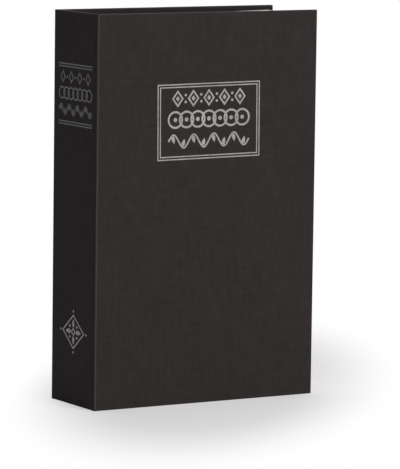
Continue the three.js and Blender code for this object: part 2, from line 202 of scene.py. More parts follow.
def clothFinish(name, rub=None):
    material, put = newFinish(name, cloth["colour"])
    flat, threads = weave(put)
    width, length = cloth["slub"]
    broad = cloudsOf(put, flat, cloth["broad"])
    across, upright = (cloudsOf(put, flat, (*size, 1), 2.0) for size in ((length, width), (width, length)))
    tone = 0.0
    for clouds, share in zip((broad, across, upright), cloth["shares"]):
        tone = put("Math", timesPlus, [clouds, share, tone])
    tone = put("MapRange", {}, [tone, 0.36, 0.64, 0.0, 1.0])
    colour = put("Mix", colours, [tone, *cloth["tones"]])
    # painted shade: darker where the threads lie low, in the weave's hollows
    gap = put("MapRange", {}, [threads, 0.2, 0.9, 0.4, 0.0])
    colour = put("Mix", colours, [gap, colour, cloth["hollow"]])
    if rub is None:  # where the sheet says it is folded over an edge it is rubbed, and where it is turned in inside the cover it gets painted shade
        # the mark: above 0 where the cloth is rubbed on a bend, below 0 where the turn-in gets painted shade
        mark = put("Attribute", {"attribute_name": "rub"}).outputs["Fac"]
        patches = put("MapRange", {}, [cloudsOf(put, flat, (2.2, 2.2, 1)), 0.35, 0.7, 0.3, 1.0])
        rub = put("Math", {"operation": times, "use_clamp": True}, [mark, patches])
        # painted shade: the turned-in cloth is made darker
        turnInShade = put("MapRange", {}, [mark, -1.0, -0.2, 0.8, 0.0])
        colour = put("Mix", colours, [turnInShade, colour, cloth["turnInShade"]])
    colour = put("Mix", colours, [rub, colour, cloth["rubbedAndHighlight"]])
    slubs = put("Math", plus, [upright, across])
    height = put("Math", timesPlus, [slubs, 0.7, threads])
    return endFinish(material, height, cloth["relief"], colour, 0.92, 0.08)


bookCloth = clothFinish("bookClothWovenCotton")
# the fold's cloth is paler all over: rubbing, and a painted highlight along the rounded fold
foldClothRubAndHighlight = clothFinish("bookClothRubbedAtTheFold", 0.5)


# Hot-stamped foil: aluminium on a film, pressed into the cloth. Pale, half dull, and broken
# where the weave's hollows weren't reached.
def foilFinish(name, silver, dull, missing, shine):
    material, put = newFinish(name, silver)
    flat, threads = weave(put)
    lost = put("Math", "SUBTRACT", [cloudsOf(put, flat, (1.6, 1.6, 1), 4.0), threads])
    lost = put("MapRange", {}, [lost, 0.25 - missing, 0.45 - missing, 0.0, 0.85])
    tone = put("Mix", colours, [cloudsOf(put, flat, (9, 9, 1), 2.0), silver, dull])
    colour = put("Mix", colours, [lost, tone, cloth["colour"]])
    metallic = put("MapRange", {}, [lost, 0.0, 0.85, shine, 0.1])
    roughness = put("MapRange", {}, [lost, 0.0, 0.85, 0.42, 0.8])
    return endFinish(material, threads, (0.04, 0.5), colour, roughness, 0.3, metallic)


stampedFoil = foilFinish("silverFoilHotStamped", "#aca8a6", "#807c7a", 0.12, 0.7)
# the spine's foil and the rosette at its foot are darker copies of the front's foil: painted shade for the
# spine's dimmer light, less of it at the foot
spineFoil = foilFinish("silverFoilHotStampedWorn", "#4e4c4e", "#403e3f", 0.16, 0.5)
footFoil = foilFinish("silverFoilHotStampedHandled", "#8a8785", "#726f6d", 0.16, 0.5)


# Lining paper: dyed through, pasted down; a faint felt mark and tiny pale fibres.
def liningFinish():
    material, put = newFinish("liningPaperPasted", "#211f20")
    place = inMillimetres(put)
    felt = cloudsOf(put, place, (16, 16, 16), 4.0)
    fibres = cloudsOf(put, place, (0.5, 0.5, 2.2))
    colour = put("Mix", colours, [felt, "#1b191a", "#292728"])
    speck = put("MapRange", {}, [fibres, 0.62, 0.75, 0.0, 0.35])
    colour = put("Mix", colours, [speck, colour, "#4a4746"])
    height = put("Math", plus, [felt, fibres])
    return endFinish(material, height, (0.05, 0.5), colour, 0.8, 0.2)


# Binder's board: pressed waste pulp, grey-brown with flecks.
def boardFinish():
    material, put = newFinish("greyBoardPressedPulp", "#8d857a")
    flecks = cloudsOf(put, inMillimetres(put), (0.7, 0.35, 0.7), 4.0, 0.7)
    tone = put("MapRange", {}, [flecks, 0.35, 0.7, 0.0, 1.0])
    colour = put("Mix", colours, [tone, "#6f675d", "#a39b8f"])
    return endFinish(material, flecks, (0.1, 0.7), colour, 0.95, 0.2)


# A coat on steel: cloudy in its tone and its gloss, over a fine relief.
def coatFinish(name, colour, tones, clouds, gloss, grain, relief, metallic=0.0):
    material, put = newFinish(name, colour)
    place = inMillimetres(put)
    cloudy = cloudsOf(put, place, clouds, 4.0)
    tone = put("Mix", colours, [cloudy, *tones])
    roughness = put("MapRange", {}, [cloudy, 0.3, 0.7, *gloss])
    return endFinish(material, cloudsOf(put, place, *grain), relief, tone, roughness, metallic=metallic)


# Bright metal turned on a lathe round the lock's axis: rings too fine to count.
def turnedFinish(name, dark, pale, roughness):
    material, put = newFinish(name, pale)
    place = inMillimetres(put)
    flat = put("VectorMath", "SUBTRACT", [place, (lockAxis[0], 0, lockAxis[1])])
    flat = put("VectorMath", times, [flat, (1, 0, 1)])
    radius = put("VectorMath", "LENGTH", [flat])
    steps = put("Math", times, [radius, 9.0])  # about nine tool marks in a millimetre
    rings = put("TexNoise", {"noise_dimensions": "1D"}, {"W": steps, "Scale": 1.0})
    colour = put("Mix", colours, [cloudsOf(put, place, (2.5, 2.5, 2.5)), dark, pale])
    worn = put("MapRange", {}, [rings, 0.3, 0.7, roughness - 0.06, roughness + 0.1])
    return endFinish(material, rings, (0.015, 0.5), colour, worn, metallic=1.0)


# Nickel plate over stamped steel: bright, tumbled, with small scratches.
def nickelFinish():
    material, put = newFinish("steelNickelPlatedTumbled", "#cbc8c1")
    place = inMillimetres(put)
    scratches = cloudsOf(put, place, (5, 0.12, 5), 3.0, 0.7)
    marks = put("MapRange", {}, [scratches, 0.55, 0.75, 0.0, 1.0])
    colour = put("Mix", colours, [cloudsOf(put, place, (4, 4, 4)), "#b9b6af", "#d6d3cc"])
    roughness = put("MapRange", {}, [marks, 0.0, 1.0, 0.18, 0.4])
    return endFinish(material, marks, (0.02, 0.5), colour, roughness, metallic=1.0)


lockPlace = nodeBox("lock_plug")
lockAxis = (sum(lockPlace[0]) / 2, sum(lockPlace[2]) / 2)
liningPaper = liningFinish()
greyBoard = boardFinish()
# Powder coat: thick, black, baked; a fine orange peel that breaks up the highlights.
powderCoat = coatFinish("steelPowderCoatedBlack", "#222326", ("#1d1e21", "#292a2d"), (30, 30, 30),
                        (0.36, 0.52), ((0.9, 0.9, 0.9), 2.0, 0.4), (0.05, 0.8))
# Zinc on mild steel, barrel plated: bluish grey, cloudy, with fine drawing lines.
zincSteel = coatFinish("steelZincPlated", "#b4b7ba", ("#9da1a6", "#c6c8c9"), (3.5, 3.5, 3.5),
                       (0.28, 0.46), ((0.15, 0.15, 9), 2.0), (0.02, 0.5), 1.0)
nickelSteel = nickelFinish()
turnedNickel = turnedFinish("brassTurnedNickelPlated", "#b5b2ac", "#d5d2cb", 0.22)
turnedBrass = turnedFinish("brassTurned", "#a8843c", "#d3b066", 0.28)
print("finishes ready")


# making pieces

def paint(mesh, finish):
    mesh.materials.clear()
    mesh.materials.append(finish)


def newObject(name, points, faces, finish=None):
    mesh = bpy.data.meshes.new(name)
    mesh.from_pydata([[value * mm for value in point] for point in points], [], faces)
    if finish is not None:
        paint(mesh, finish)
    return shown(name, mesh)


def loopFaces(loops, count, closed=False):  # between loops of points, and from the last to the first
    faces = []
    for loop in range(loops if closed else loops - 1):
        here, after = loop * count, (loop + 1) % loops * count
        for i in range(count):
            j = (i + 1) % count
            faces.append((here + i, here + j, after + j, after + i))
    return faces


def made(piece):  # the mesh that its modifiers or its curve give
    graph = bpy.context.evaluated_depsgraph_get()
    return bpy.data.meshes.new_from_object(piece.evaluated_get(graph))


def bake(piece):  # what its modifiers make becomes its plain mesh
    mesh = made(piece)
    mesh.name = piece.name
    piece.modifiers.clear()
    old = piece.data
    piece.data = mesh
    bpy.data.meshes.remove(old)
    return piece


def reshape(piece, change):
    shape = bmesh.new()
    shape.from_mesh(piece.data)
    change(shape)
    shape.to_mesh(piece.data)
    shape.free()
    return piece


def mend(piece, merge=0.001, dissolve=None):  # merge doubles, and turn every face outwards
    def change(shape):
        bmesh.ops.delete(shape, geom=[v for v in shape.verts if not v.link_faces], context="VERTS")
        bmesh.ops.remove_doubles(shape, verts=shape.verts, dist=merge * mm)
        if dissolve is not None:
            bmesh.ops.dissolve_limit(shape, angle_limit=radians(dissolve),
                                     verts=shape.verts, edges=shape.edges)
        bmesh.ops.recalc_face_normals(shape, faces=shape.faces)

    return reshape(piece, change)


def soften(piece, width=0, segments=2, angle=28):  # rounded edges with flat faces kept flat
    if width:
        settle(piece.modifiers.new("bevel", "BEVEL"), width=width * mm, segments=segments,
               limit_method="ANGLE", angle_limit=radians(angle))
    bake(piece)
    piece.data.shade_smooth()
    piece.data.set_sharp_from_angle(angle=radians(40))
    piece.modifiers.new("weighted", "WEIGHTED_NORMAL").keep_sharp = True
    return bake(piece)


def place(piece, body, slot, *stoodFor):
    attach(piece, body)
    if stoodFor:
        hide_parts(*stoodFor)
    return piece


def joined(name, pieces):
    shape = bmesh.new()
    finishes = list(dict.fromkeys(piece.data.materials[0] for piece in pieces))
    for piece in pieces:
        start = len(shape.faces)
        shape.from_mesh(piece.data)
        for face in list(shape.faces)[start:]:
            face.material_index = finishes.index(piece.data.materials[0])
        bpy.data.objects.remove(piece)
    whole = newObject(name, [], [])
    shape.to_mesh(whole.data)
    shape.free()
    for finish in finishes:
        whole.data.materials.append(finish)
    return whole


def circle(radius, centre=(0, 0), count=64, start=0.0, end=360.0):
    whole = abs(end - start) >= 360
    steps = count if whole else count + 1
    angles = [radians(start + (end - start) * i / count) for i in range(steps)]
    return [(centre[0] + radius * cos(a), centre[1] + radius * sin(a)) for a in angles]


def turnedPiece(name, profile, finish, axis, along="y", segments=64):
    # profile: (radius, place along the axis), a closed line unless it starts and ends at radius 0
    points = []
    for radius, height in profile:
        for i in range(segments):
            angle = 2 * pi * i / segments
            a, b = axis[0] + radius * cos(angle), axis[1] + radius * sin(angle)
            points.append((a, height, b) if along == "y" else (a, b, height))
    hasPoles = profile[0][0] == 0 == profile[-1][0]
    return mend(newObject(name, points, loopFaces(len(profile), segments, not hasPoles), finish))


def plate(name, outlines, depth, finish, centre=(0, 0), edge=0.0, lying=False):
    # outlines in X and Z, the first one outside and the others holes, thickness along Y;
    # lying: outlines in X and Y, thickness along Z
    curve = settle(bpy.data.curves.new(name, "CURVE"), dimensions="2D", fill_mode="BOTH",
                   extrude=(depth[1] - depth[0]) / 2 * mm - edge * mm, bevel_depth=edge * mm,
                   bevel_resolution=1, offset=-edge * mm)
    for outline in outlines:
        spline = curve.splines.new("POLY")
        spline.points.add(len(outline) - 1)
        for point, (a, b) in zip(spline.points, outline):
            point.co = ((centre[0] + a) * mm, (centre[1] + b) * mm, 0, 1)
        spline.use_cyclic_u = True
    drawn = shown(name, curve)
    mesh = made(drawn)
    bpy.data.objects.remove(drawn)
    middle = (depth[0] + depth[1]) / 2 * mm
    turn = Matrix.Rotation(radians(0 if lying else 90), 4, "X")
    mesh.transform(Matrix.Translation((0, 0, middle) if lying else (0, middle, 0)) @ turn)
    paint(mesh, finish)
    return mend(shown(name, mesh))


def brick(name, x, y, z, finish=None):
    points = [(a, b, c) for a in x for b in y for c in z]
    faces = [(0, 1, 3, 2), (4, 6, 7, 5), (0, 4, 5, 1), (2, 3, 7, 6), (0, 2, 6, 4), (1, 5, 7, 3)]
    return mend(newObject(name, points, faces, finish))


def combine(piece, tools, operation="DIFFERENCE"):
    for tool in tools:
        settle(piece.modifiers.new("cut", "BOOLEAN"), operation=operation, solver="EXACT", object=tool)
    bake(piece)
    for tool in tools:
        bpy.data.objects.remove(tool)
    return mend(piece, merge=0.002, dissolve=0.5)


def foldedStrip(name, path, thickness, stations, finish, kept=lambda i, k: True):
    # sheet metal or paper that follows a path in X and Y, cut along Z at the stations;
    # kept says which stretch of the path is there between two stations
    path = [Vector(p) for p in path]
    points, faces = [], []
    for z in stations:
        for i, point in enumerate(path):
            before = (point - path[i - 1]).normalized() if i else (path[1] - point).normalized()
            after = (path[i + 1] - point).normalized() if i < len(path) - 1 else before
            middle = (before + after).normalized()
            out = Vector((-middle.y, middle.x)) / max(0.3, middle.dot(before)) * thickness / 2
            points += [(*(point + out), z), (*(point - out), z)]
    there = {(i, k) for i in range(len(path) - 1) for k in range(len(stations) - 1) if kept(i, k)}
    square = ((0, 0), (1, 0), (1, 1), (0, 1))
    for i, k in sorted(there):
        for axis, end in ((1, 0), (1, 1), (0, 0), (0, 1), (2, 0), (2, 1)):  # each stretch's six faces
            beside = (i + (2 * end - 1) * (axis == 0), k + (2 * end - 1) * (axis == 2))
            if axis == 1 or beside not in there:
                corners = [(*corner[:axis], end, *corner[axis:]) for corner in square]
                faces.append([2 * ((k + c) * len(path) + i + a) + b for a, b, c in corners])
    return mend(newObject(name, points, faces, finish))


def nodeCopy(node, name, finish):  # a merged copy of a CAD solid, with whole faces
    mesh = nodes[node].data.copy()
    paint(mesh, finish)
    if "custom_normal" in mesh.attributes:
        mesh.attributes.remove(mesh.attributes["custom_normal"])
    return mend(shown(name, mesh), merge=0.002, dissolve=0.5)


# Geometry Nodes: a row of parts, ruled frames and a wavy line

def newTree(name, inputs):  # inputs: their names under each kind of socket
    tree = bpy.data.node_groups.new(name, "GeometryNodeTree")
    sockets = [(label, "INPUT", kind) for kind, labels in inputs.items() for label in labels]
    for label, way, kind in (*sockets, ("Finish", "INPUT", "Material"), ("Geometry", "OUTPUT", "Geometry")):
        tree.interface.new_socket(name=label, in_out=way, socket_type="NodeSocket" + kind)
    return partial(add, tree), tree.nodes.new("NodeGroupInput").outputs


def endTree(put, given, geometry):
    real = put("RealizeInstances", {}, {0: geometry})
    painted = put("SetMaterial", {}, {"Geometry": real, "Material": given["Finish"]})
    return put("GroupOutput", {}, {0: painted}).id_data


def endLine(put, given, line, width):  # the line gets a width and a thickness, and stands upright
    nib = put("CurvePrimitiveQuadrilateral", {}, {"Width": width, "Height": given["Thickness"]})
    swept = put("CurveToMesh", {}, {"Curve": line, "Profile Curve": nib, "Fill Caps": True})
    return endTree(put, given, put("Transform", {}, {
        "Geometry": swept, "Translation": given["Centre"], "Rotation": (radians(90), 0, 0)}))


def rowTree():
    put, given = newTree("rowOfParts", {
        "Object": ["Part", "Other Part"], "Int": ["Count", "Seed"],
        "Vector": ["Start", "Step", "Least Shift", "Most Shift"]})
    line = put("MeshLine", {"mode": "OFFSET"}, {
        "Count": given["Count"], "Start Location": given["Start"], "Offset": given["Step"]})
    shift = put("RandomValue", {"data_type": "FLOAT_VECTOR"}, {
        0: given["Least Shift"], 1: given["Most Shift"], "Seed": given["Seed"]})
    sources = [put("ObjectInfo", {}, {"Object": given[label]}) for label in ("Other Part", "Part")]
    parts = [put("GeometryToInstance", {}, {0: source.outputs["Geometry"]}) for source in sources]
    return endTree(put, given, put("InstanceOnPoints", {}, {
        "Points": put("SetPosition", {}, {"Geometry": line, "Offset": shift}),
        "Instance": put("JoinGeometry", {}, {0: parts}), "Pick Instance": True,
        "Instance Index": put("Math", "MODULO", [put("InputIndex"), 2.0])}))


def ruleTree():
    put, given = newTree("ruledFrame", {
        "Float": ["Width", "Height", "Line", "Inset", "Thickness"], "Vector": ["Centre"]})
    frames = []
    for share in (0.0, -2.0):  # the outer frame, and the inner one that is set in
        sides = {}
        for label in ("Width", "Height"):
            trimmed = put("Math", timesPlus, [given["Inset"], share, given[label]])
            sides[label] = put("Math", "SUBTRACT", [trimmed, given["Line"]])
        frames.append(put("CurvePrimitiveQuadrilateral", {}, sides))
    mitred = put("Math", times, [given["Line"], sqrt(2)])
    return endLine(put, given, put("JoinGeometry", {}, {0: frames}), mitred)


def waveTree():
    put, given = newTree("wavyLine", {
        "Float": ["Length", "Waves", "Rise", "Line", "Thickness"], "Vector": ["Centre"]})
    straight = put("CurvePrimitiveLine", {}, {"Start": (-0.5, 0, 0), "End": (0.5, 0, 0)})
    along = put("SeparateXYZ", {}, [put("InputPosition")]).outputs[0]
    turns = put("Math", times, [given["Waves"], 2 * pi])
    sway = put("Math", "SINE", [put("Math", times, [along, turns])])
    sides = [put("Math", times, pair) for pair in ([along, given["Length"]], [sway, given["Rise"]])]
    return endLine(put, given, put("SetPosition", {}, {
        "Geometry": put("ResampleCurve", {}, {"Curve": straight, "Count": 97}),
        "Position": put("CombineXYZ", {}, sides)}), given["Line"])


trees = {"row": rowTree(), "rule": ruleTree(), "wave": waveTree()}


def grown(name, treeName, values):  # runs a tree and keeps what it makes as a plain mesh
    piece = newObject(name, [], [])
    step = piece.modifiers.new(name, "NODES")
    step.node_group = trees[treeName]
    for item in trees[treeName].interface.items_tree:
        if item.in_out == "INPUT":
            step[item.identifier] = values[item.name]
    bake(piece)
    paint(piece.data, values["Finish"])
    piece.data.polygons.foreach_set("material_index", [0] * len(piece.data.polygons))
    return mend(piece)


def rowOf(name, part, other, count, start, step, finish, shift=(0, 0, 0), seed=7):
    # other: every second one, or none; shift: the most that chance moves each one, to either side
    result = grown(name, "row", {
        "Part": part, "Other Part": other or part, "Count": count,
        "Start": [v * mm for v in start], "Step": [v * mm for v in step],
        "Least Shift": [-v * mm for v in shift], "Most Shift": [v * mm for v in shift],
        "Seed": seed, "Finish": finish})
    for used in {part, other or part}:
        bpy.data.objects.remove(used)
    return result


print("tools ready")


# The covers' cloth: one sheet over the board's outside, folded round the head, the tail and the
# fore-edge, and turned in. Loops run from the tail end of the spine side round to its head end.

coverSheet = {
    "edge": 0.6,  # bend over the board's edge, outside
    "corner": 0.5,  # the cover's corners, seen from the front
    "cloth": 0.4,
    "turnIn": 15,
    "sink": 0.05,  # the outer face, below the foil's face
    "flat": (9.0, 2.2, 1.2),  # where loops of points lie on the flat faces, from the edge inwards
    "fold": 0.9,  # how far round the spine corner the fold's own strip reaches
    "tuck": 0.4,  # the turn-in starts this much nearer the spine than the outside
    "lap": 0.25,  # the spine's folded cloth past its board, over the single skin
    "bendSteps": 5,
    "cornerSteps": 6,
    "foldSteps": 8,
    "round": -105,  # thread coordinate on the spine, where Y is 0
}


def coverPath(radius, lift, thickness):
    # (inset from the plan outline, depth from the outer face, how far it is rubbed; -1 on the turn-in, which
    # gets painted shade)
    steps = coverSheet["bendSteps"]
    turns = [pi / 2 * i / steps for i in range(steps + 1)]
    turns = [(sin(turn), cos(turn)) for turn in turns]
    wide, near, inside = coverSheet["flat"]
    path = [(wide, lift, 0.0), (near, lift, 0.0)]
    path += [(radius * (1 - s), lift + radius * (1 - c), s) for s, c in turns]
    path += [(radius * (1 - c), thickness - radius * (1 - s), c) for s, c in turns]
    return path + [(inside, thickness, -1.0), (coverSheet["turnIn"], thickness, -1.0)]


def sheetPaths(thickness):  # the sheet's outside and inside, with the inset once it is flat again
    skin, lift = coverSheet["cloth"], coverSheet["sink"]
    outside = coverPath(coverSheet["edge"], lift, thickness)
    inside = coverPath(coverSheet["edge"] - skin, lift + skin, thickness - skin)
    inside = [(inset + skin if inset < 2 else inset, depth, 0.0) for inset, depth, _ in inside]
    paths = []
    for path in (outside, inside):
        flat = [path[0][0]]
        for before, here in zip(path, path[1:]):
            flat.append(flat[-1] - dist(before[:2], here[:2]))
        paths.append([(*point, inset) for point, inset in zip(path, flat)])
    return paths


def carry(piece, threads, rubAndPaintedLightValues=None):  # what the cloth's and the foil's finish read
    mesh = piece.data
    values = [value for thread in threads for value in (*thread, 0.0)]
    mesh.attributes.new("thread", "FLOAT_VECTOR", "POINT").data.foreach_set("vector", values)
    if rubAndPaintedLightValues:
        mesh.attributes.new("rub", "FLOAT", "POINT").data.foreach_set("value", rubAndPaintedLightValues)
    return piece


def coverOutline(x, z, start, inset):
    radius = max(coverSheet["corner"] - inset, 0.02)
    steps, right = coverSheet["cornerSteps"], x[1] - inset - radius
    tail, head = z[0] + inset, z[1] - inset
    return [(start, tail), *circle(radius, (right, tail + radius), steps, -90, 0),
            *circle(radius, (right, head - radius), steps, 0, 90), (start, head)]


def sheetOf(name, loops, finish, closed=True):
    # loops of (place, thread coordinates, rub and painted shade mark) with a face over each end; loops that
    # aren't closed share one flat face between their ends
    count = len(loops[0])
    faces = loopFaces(len(loops), count)
    if not closed:
        ends = [row * count for row in range(len(loops))]
        faces = [face for face in faces if face[0] < face[1]]
        faces.append(ends + [end + count - 1 for end in reversed(ends)])
    last = (len(loops) - 1) * count
    faces += [list(range(count))[::-1], list(range(last, last + count))]
    places, threads, rubAndPaintedLightValues = zip(*[point for loop in loops for point in loop])
    return mend(carry(newObject(name, places, faces, finish), threads, rubAndPaintedLightValues), merge=0.0001)


def coverCloth(name, node, outward, body):
    x, y, z = nodeBox(node)
    face = y[0] if outward < 0 else y[1]
    outside, inside = sheetPaths(y[1] - y[0])
    loops = []
    for inset, depth, rub, flatInset in outside + inside[::-1]:
        start = x[0] + coverSheet["fold"] - (coverSheet["tuck"] if depth > coverSheet["fold"] else 0)
        loop = [(a, face - outward * depth, b) for a, b in coverOutline(x, z, start, inset)]
        flat = [(a if outward < 0 else 2 * coverSheet["round"] - a, b)
                for a, b in coverOutline(x, z, start, flatInset)]
        loops.append([(*pair, rub) for pair in zip(loop, flat)])
    piece = sheetOf(name, loops, bookCloth, closed=False)
    place(soften(piece), body, "book_cloth", node)


coverCloth("frontCoverCloth", "front_cover_cloth", -1, "front_cover")
coverCloth("backCoverCloth", "back_cover_cloth", 1, "book_case")


# The spine's cloth: folded round the head and the tail like the covers, and carried as a single
# skin past both ends of the spine board, round the back corner to the back cover.

def spineWrap(x, z, ends):
    height = z[1] - z[0]
    halves = []
    for path in sheetPaths(x[1] - x[0]):
        tail = path[:1:-1]
        halves.append(tail + [(height - h, d, r, height - f) for h, d, r, f in reversed(tail)])
    ring = halves[0] + halves[1][::-1]
    return sheetOf("spineWrap", [[((x[0] + d, y, z[0] + h), (coverSheet["round"] - y, z[0] + f), r)
                                  for h, d, r, f in ring] for y in ends], bookCloth)


def skinStrip(name, run, z, finish, around, way=1):
    # one layer of cloth, from tail to head, through places with their inward directions;
    # around is the thread coordinate where the run starts, and way the direction that it grows in
    skin, lift = coverSheet["cloth"], coverSheet["sink"]
    half = skin / 2
    rim = [(half, lift), (half * 0.3, lift + half * 0.4), (0, lift + half)]
    rim += [(half * 0.3, lift + half * 1.6), (half, lift + skin)]
    section = rim + [(z[1] - z[0] - h, d) for h, d in reversed(rim)]
    loops = []
    before = run[0][0]
    for (px, py), (ix, iy), rub in run:
        around += way * dist(before, (px, py))
        before = (px, py)
        loops.append([((px + ix * d, py + iy * d, z[0] + h), (around, z[0] + h),
                       rub if d < lift + half else 0.0) for h, d in section])
    return sheetOf(name, loops, finish)


def cornerRun(centre, start, end, rubbedAndHighlight):  # round a corner, with the inward directions
    steps = coverSheet["foldSteps"]
    spots = circle(coverSheet["fold"], centre, steps, start, end)
    inward = circle(-1, (0, 0), steps, start, end)
    return [(spots[i], inward[i], rubbedAndHighlight * sin(pi * i / steps)) for i in range(steps + 1)]


def spineCloth():
    x, _, z = nodeBox("spine_cloth")
    tailEnd, headEnd = nodeBox("spine_board")[1]
    fold, around = coverSheet["fold"], coverSheet["round"]
    front, back = nodeBox("front_cover_cloth")[1][0], nodeBox("back_cover_cloth")[1][1]
    frontRun = [((x[0], y), (1, 0), 0.0) for y in (tailEnd, front + fold)]
    backRun = [((x[0], headEnd), (1, 0), 0.0)] + cornerRun((x[0] + fold, back - fold), 180, 90, 1.0)
    whole = joined("spineCloth", [
        spineWrap(x, z, (tailEnd - coverSheet["lap"], headEnd)),
        skinStrip("frontSkin", frontRun, z, bookCloth, around - tailEnd),
        skinStrip("backSkin", backRun, z, bookCloth, around - headEnd, -1)])
    place(soften(whole), "book_case", "book_cloth", "spine_cloth")


spineCloth()


# The fold between the spine and the front cover, the only place where the real book bends; here it is a
# fixed piece on neither body. Its cloth is painted paler than the rest, as rubbing and as the highlight
# along the rounded fold. It stays within a millimetre of the hinge line.

def foldStrip():
    x, _, z = nodeBox("spine_cloth")
    front = nodeBox("front_cover_cloth")[1][0]
    fold = coverSheet["fold"]
    run = cornerRun((x[0] + fold, front + fold), 180, 270, 0.0)
    strip = soften(skinStrip("frontFoldCloth", run, z, foldClothRubAndHighlight, coverSheet["round"] - front - fold))
    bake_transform(strip)


foldStrip()


# Paper pasted over the board ends that the open cover shows.

joint = {
    "thickness": 0.15,
    "short": 0.2,  # of the board's head and tail
    "proud": 0.08,
    "starts": (0.3, 0.05),  # from the outer face of the front board and of the spine board
}


def jointPaper(name, path, body):
    tail, head = nodeBox("front_board")[2]
    turnIn = coverSheet["turnIn"]
    stations = [tail + joint["short"], turnIn, nodeBox("front_cover_cloth")[2][1] - turnIn,
                head - joint["short"]]
    piece = foldedStrip(name, path, joint["thickness"], stations, liningPaper, lambda i, k: i < 1 or k == 1)
    place(soften(piece), body, "lining_paper")


frontBoardBox, spineBoardBox = nodeBox("front_board"), nodeBox("spine_board")
edgeX, innerY = frontBoardBox[0][0] - joint["proud"], frontBoardBox[1][1] + joint["proud"]
jointPaper("frontJointPaper", [(edgeX, frontBoardBox[1][0] + joint["starts"][0]), (edgeX, innerY),
                               (nodeBox("front_lining_paper")[0][0], innerY)], "front_cover")
endY, innerX = spineBoardBox[1][0] - joint["proud"], spineBoardBox[0][1] + joint["proud"]
jointPaper("spineJointPaper", [(spineBoardBox[0][0] + joint["starts"][1], endY), (innerX, endY),
                               (innerX, nodeBox("spine_lining_paper")[1][0])], "book_case")
for side in ("front", "spine", "back"):
    paint(nodes[side + "_board"].data, greyBoard)
    paint(nodes[side + "_lining_paper"].data, liningPaper)
print("covers ready")


# Foil: the front label and the spine's bands, with bookbinder's ornaments between the rules:
# lozenges, a chain of rings and a vine, and a rosette at the spine's foot.

def ring(outer, inner, count=32):
    return [circle(outer, count=count), circle(inner, count=count)[::-1]]


def lozenge(halfWidth, halfHeight, centre=(0, 0)):
    return [(centre[0] + halfWidth, centre[1]), (centre[0], centre[1] + halfHeight),
            (centre[0] - halfWidth, centre[1]), (centre[0], centre[1] - halfHeight)]


foil = {
    "thickness": 0.05,
    "sunk": 0.02,  # every other ring of a chain lies under its neighbours
    "line": 0.7,
    "inset": 1.65,  # from frame to frame, and from rule to rule
    "label": {"x": (-35.8, 36.6), "z": (150.7, 197.0), "tilt": 0.55},  # stamped a touch out of square
    "spineRules": (208.0, 172.9),  # the upper rule of each pair
    "spineRule": (20.8, 0.4),  # half its length and half its line
    "rosette": 45.0,
}
# each row: the height of its middle, and its shapes round their own middle with count and pitch,
# or for the vine its length, waves, rise, line and leaf
frontRows = {
    "lozenges": (188.0, [[lozenge(4.1, 5.3), lozenge(2.75, 3.6)[::-1]], [lozenge(1.35, 1.75)]],
                 [[circle(0.85, (0, h), 16)] for h in (-2.1, 2.1)], 9, 5.5),
    "chain": (175.2, [ring(5.4, 4.15, 40), [circle(1.3, count=20)]], 7, 7.9),
    "vine": (162.0, 57.0, 4, 4.0, 1.05, (5.2, 2.5)),
}
spineRows = {
    "lozenges": (200.1, [[lozenge(3.2, 4.0), lozenge(2.0, 2.5)[::-1]]], [[circle(0.85, count=14)]], 7, 5.2),
    "chain": (190.2, [ring(4.0, 3.0, 28)], 7, 5.6),
    "vine": (180.2, 41.0, 4, 3.2, 0.9, (4.1, 2.0)),
}
foilPlane = nodeBox("front_cover_cloth")[1][0]
foilMiddle = foilPlane + foil["thickness"] / 2


def stamped(name, shapes, finish, sunk=0.0):  # shapes round one middle, each with its holes
    parts = []
    for outlines in shapes:
        parts.append(plate(name, outlines, (foilPlane + sunk, foilPlane + foil["thickness"] + 0.01), finish))
        sunk = 0.0  # only the first lies deeper
    return joined(name, parts)


def leafShape(length, width, turn, root=(0, 0)):
    shares = [i / 8 for i in range(9)]
    points = [(length * t, width / 2 * sin(pi * t ** 0.8)) for t in shares]
    points += [(a, -b) for a, b in points[-2:0:-1]]
    c, s = cos(radians(turn)), sin(radians(turn))
    return [(root[0] + c * a - s * b, root[1] + s * a + c * b) for a, b in points]


def vine(height, length, waves, rise, line, leaf, finish):
    # a wavy stem with a leaf hanging in each bend
    stem = grown("vineStem", "wave", {
        "Length": length * mm, "Waves": float(waves), "Rise": rise * mm, "Line": line * mm,
        "Thickness": foil["thickness"] * mm, "Centre": [0, foilMiddle * mm, height * mm], "Finish": finish})
    x, z = -leaf[0] * 0.17, rise - line * 0.4
    down, up = (stamped("leaf", [[leafShape(*leaf, turn, (x, end))]], finish)
                for turn, end in ((-74, z), (74, -z)))
    half = length / waves / 2
    start = (-half * (waves - 0.5), 0, height)
    return [stem, rowOf("vineLeaves", down, up, 2 * waves, start, (half, 0, 0), finish)]


def ornaments(rows, finish):
    height, shapes, dots, *spacing = rows["lozenges"]
    lines = [(height, stamped("lozenge", shapes, finish), stamped("dots", dots, finish), *spacing)]
    height, shapes, *spacing = rows["chain"]
    links = [stamped("link", shapes, finish, sunk) for sunk in (0.0, foil["sunk"])]
    lines.append((height, *links, *spacing))
    pieces = vine(*rows["vine"], finish)
    for height, part, other, count, pitch in lines:
        start = (-pitch * (count - 1) / 2, 0, height)
        pieces.append(rowOf("ornaments", part, other, count, start, (pitch, 0, 0), finish))
    return pieces


def frontFoil():
    x, z = foil["label"]["x"], foil["label"]["z"]
    middle = Matrix.Translation((sum(x) / 2 * mm, 0, sum(z) / 2 * mm))
    label = grown("labelFrame", "rule", {
        "Width": (x[1] - x[0]) * mm, "Height": (z[1] - z[0]) * mm, "Line": foil["line"] * mm,
        "Inset": foil["inset"] * mm, "Thickness": foil["thickness"] * mm,
        "Centre": [0, foilMiddle * mm, sum(z) / 2 * mm], "Finish": stampedFoil})
    whole = soften(joined("frontFoil", [label, *ornaments(frontRows, stampedFoil)]))
    tilt = Matrix.Rotation(-radians(foil["label"]["tilt"]), 4, "Y")
    whole.data.transform(middle @ tilt @ Matrix.Translation((0, 0, -sum(z) / 2 * mm)))
    carry(whole, [(v.co.x / mm, v.co.z / mm) for v in whole.data.vertices])
    place(whole, "front_cover", "book_cloth")


